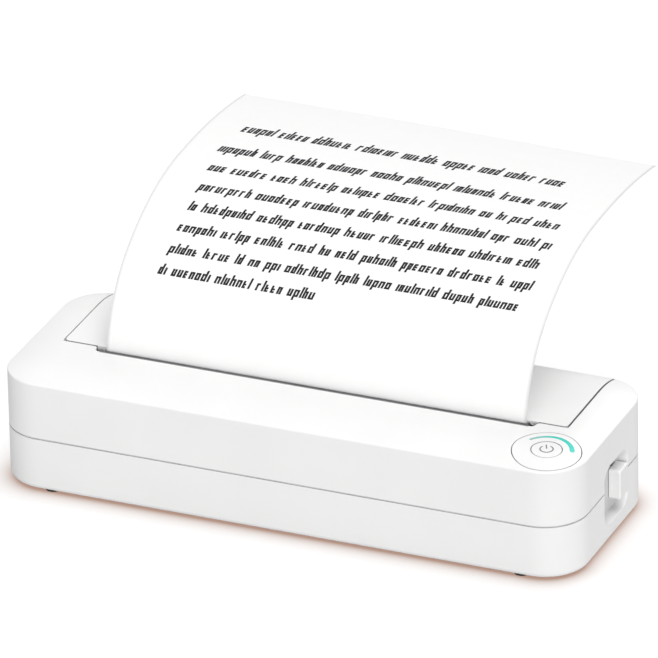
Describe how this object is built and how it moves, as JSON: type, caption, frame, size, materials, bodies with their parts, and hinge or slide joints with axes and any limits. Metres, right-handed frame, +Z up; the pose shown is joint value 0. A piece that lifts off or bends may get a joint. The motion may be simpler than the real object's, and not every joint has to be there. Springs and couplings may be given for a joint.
{
  "type": "portable thermal printer",
  "caption": "Flat battery printer with a rounded white case, a hinged paper lid, a finger latch, a round button panel and a printed sheet curling from its slot.",
  "frame": {"origin": "on the desk, under the middle of the case's footprint", "axes": "+Z up from the desk, +X along the case towards the button end, -Y towards the front, +Y where the sheet goes"},
  "size_m": [0.289, 0.2052, 0.122],
  "materials": {
    "case_plastic": "satin, very fine grain",
    "lever_plastic": "satin",
    "foot_rubber": "matte",
    "light_guide": "translucent, lit from below",
    "paper": "smooth thermal coating, printed rows",
    "roll_paper": "smooth, fine winding lines on the ends",
    "core_card": "matte, spiral wound",
    "platen_rubber": "ground matte",
    "steel": "turned or ground",
    "zinc_plate": "bright zinc, rolled",
    "spring_steel": "drawn",
    "tear_steel": "bright cut edge",
    "head_aluminium": "satin extruded",
    "strip_ceramic": "glazed line on dark ceramic",
    "gear_plastic": "natural acetal",
    "latch_plastic": "glass filled, matte",
    "inner_plastic": "fine texture",
    "chip_plastic": "matte",
    "circuit_board": "solder mask",
    "battery_sleeve": "shrunk sleeve",
    "motor_can": "drawn can"
  },
  "bodies": {
    "case": {"base_tray": "case_plastic", "top_frame": "case_plastic", "slot_lip": "latch_plastic", "case_screws": "steel", "foot_pads": "foot_rubber", "hinge_pins": "steel", "gear_plate": "zinc_plate", "idler_axle": "steel", "drive_motor": "motor_can", "head_frame": "zinc_plate", "frame_screws": "steel", "head_springs": "spring_steel", "roll_tray": "inner_plastic", "paper_sheet": "paper", "paper_sensor": "chip_plastic", "lever_guide": "inner_plastic", "lever_spring": "spring_steel", "control_disc": "case_plastic", "light_guide": "light_guide", "button_board": "circuit_board", "tact_switch": "chip_plastic", "battery_pack": "battery_sleeve", "main_board": "circuit_board", "board_chips": "chip_plastic", "usb_socket": "steel"},
    "cover": {"cover": "case_plastic", "tear_bar": "tear_steel", "platen_bushes": "gear_plastic"},
    "platen": {"platen_shaft": "steel", "platen_rubber": "platen_rubber", "platen_gear": "gear_plastic"},
    "idler": {"idler_gear": "gear_plastic"},
    "rotor": {"motor_pinion": "gear_plastic", "motor_shaft": "steel"},
    "roll": {"roll_core": "core_card", "paper_roll": "roll_paper", "roll_hubs": "inner_plastic"},
    "head": {"heat_sink": "head_aluminium", "thermal_strip": "strip_ceramic", "driver_cover": "chip_plastic"},
    "latch": {"latch_shaft": "steel", "latch_hooks": "latch_plastic", "latch_crank": "latch_plastic"},
    "lever": {"release_lever": "lever_plastic"},
    "button": {"power_button": "case_plastic"}
  },
  "joints": [
    {"name": "cover_hinge", "type": "hinge", "parent": "case", "child": "cover", "pos_m": [0, 0.0465, 0.0335], "axis": [-1, 0, 0], "range_deg": [0, 100]},
    {"name": "platen_spin", "type": "hinge", "parent": "cover", "child": "platen", "pos_m": [0, -0.0072, 0.0455], "axis": [1, 0, 0], "continuous": true},
    {"name": "idler_spin", "type": "hinge", "parent": "case", "child": "idler", "pos_m": [0, -0.00903, 0.0373], "axis": [1, 0, 0], "continuous": true},
    {"name": "motor_spin", "type": "hinge", "parent": "case", "child": "rotor", "pos_m": [0, -0.02254, 0.0295], "axis": [1, 0, 0], "continuous": true},
    {"name": "roll_spin", "type": "hinge", "parent": "case", "child": "roll", "pos_m": [0, 0.019, 0.0255], "axis": [1, 0, 0], "continuous": true},
    {"name": "head_pivot", "type": "hinge", "parent": "case", "child": "head", "pos_m": [0, -0.016, 0.034], "axis": [1, 0, 0], "range_deg": [0, 2.5], "stiffness_Nm_per_rad": 2, "springref_deg": -1.15, "deforming": ["head_springs"]},
    {"name": "release_slide", "type": "slide", "parent": "case", "child": "lever", "axis": [0, 0, 1], "range_m": [0, 0.004], "stiffness_N_per_m": 300, "springref_m": -0.002, "deforming": ["lever_spring"]},
    {"name": "latch_rock", "type": "hinge", "parent": "case", "child": "latch", "pos_m": [0, -0.0155, 0.021], "axis": [1, 0, 0], "range_deg": [0, 8]},
    {"name": "power_press", "type": "slide", "parent": "case", "child": "button", "axis": [0, 0, -1], "range_m": [0, 0.0005], "stiffness_N_per_m": 400, "springref_m": -0.0005}
  ],
  "couplings": [
    {"joint": "idler_spin", "follows": "platen_spin", "ratio": -1},
    {"joint": "motor_spin", "follows": "platen_spin", "ratio": 3.3333},
    {"joint": "latch_rock", "follows": "release_slide", "rad_per_m": 34.602}
  ]
}
